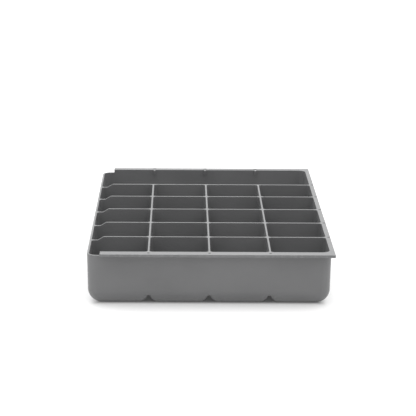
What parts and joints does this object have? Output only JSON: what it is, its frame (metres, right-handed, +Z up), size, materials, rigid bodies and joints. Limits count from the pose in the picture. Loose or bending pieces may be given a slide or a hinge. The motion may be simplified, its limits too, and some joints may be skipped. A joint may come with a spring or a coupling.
{
  "type": "compartment tray",
  "caption": "Rigid moulded plastic tray with a grid of scooped square cells, a full-width trough behind them, lips on three sides and a low fourth side.",
  "frame": {"origin": "on the surface the tray stands on, under the middle of the whole tray with its flanges", "axes": "+X to the side with the narrow flange, +Y from the cells towards the trough, +Z up out of the cells"},
  "size_m": [0.2958, 0.457, 0.0665],
  "materials": {
    "tray_plastic": "fine satin grey, as moulded"
  },
  "bodies": {
    "root": {"back_flange": "tray_plastic", "back_left_corner": "tray_plastic", "back_right_corner": "tray_plastic", "back_wall": "tray_plastic", "cell_floor_1_1": "tray_plastic", "cell_floor_1_2": "tray_plastic", "cell_floor_1_3": "tray_plastic", "cell_floor_1_4": "tray_plastic", "cell_floor_2_1": "tray_plastic", "cell_floor_2_2": "tray_plastic", "cell_floor_2_3": "tray_plastic", "cell_floor_2_4": "tray_plastic", "cell_floor_3_1": "tray_plastic", "cell_floor_3_2": "tray_plastic", "cell_floor_3_3": "tray_plastic", "cell_floor_3_4": "tray_plastic", "cell_floor_4_1": "tray_plastic", "cell_floor_4_2": "tray_plastic", "cell_floor_4_3": "tray_plastic", "cell_floor_4_4": "tray_plastic", "cell_floor_5_1": "tray_plastic", "cell_floor_5_2": "tray_plastic", "cell_floor_5_3": "tray_plastic", "cell_floor_5_4": "tray_plastic", "cross_divider_1": "tray_plastic", "cross_divider_2": "tray_plastic", "cross_divider_3": "tray_plastic", "cross_divider_4": "tray_plastic", "cross_divider_5": "tray_plastic", "front_flange": "tray_plastic", "front_left_corner": "tray_plastic", "front_right_corner": "tray_plastic", "front_wall": "tray_plastic", "left_wall": "tray_plastic", "long_divider_1_row_1": "tray_plastic", "long_divider_1_row_2": "tray_plastic", "long_divider_1_row_3": "tray_plastic", "long_divider_1_row_4": "tray_plastic", "long_divider_1_row_5": "tray_plastic", "long_divider_2_row_1": "tray_plastic", "long_divider_2_row_2": "tray_plastic", "long_divider_2_row_3": "tray_plastic", "long_divider_2_row_4": "tray_plastic", "long_divider_2_row_5": "tray_plastic", "long_divider_3_row_1": "tray_plastic", "long_divider_3_row_2": "tray_plastic", "long_divider_3_row_3": "tray_plastic", "long_divider_3_row_4": "tray_plastic", "long_divider_3_row_5": "tray_plastic", "right_flange": "tray_plastic", "right_wall": "tray_plastic", "trough_floor": "tray_plastic", "trough_stub_1": "tray_plastic", "trough_stub_2": "tray_plastic", "trough_stub_3": "tray_plastic"}
  },
  "joints": []
}
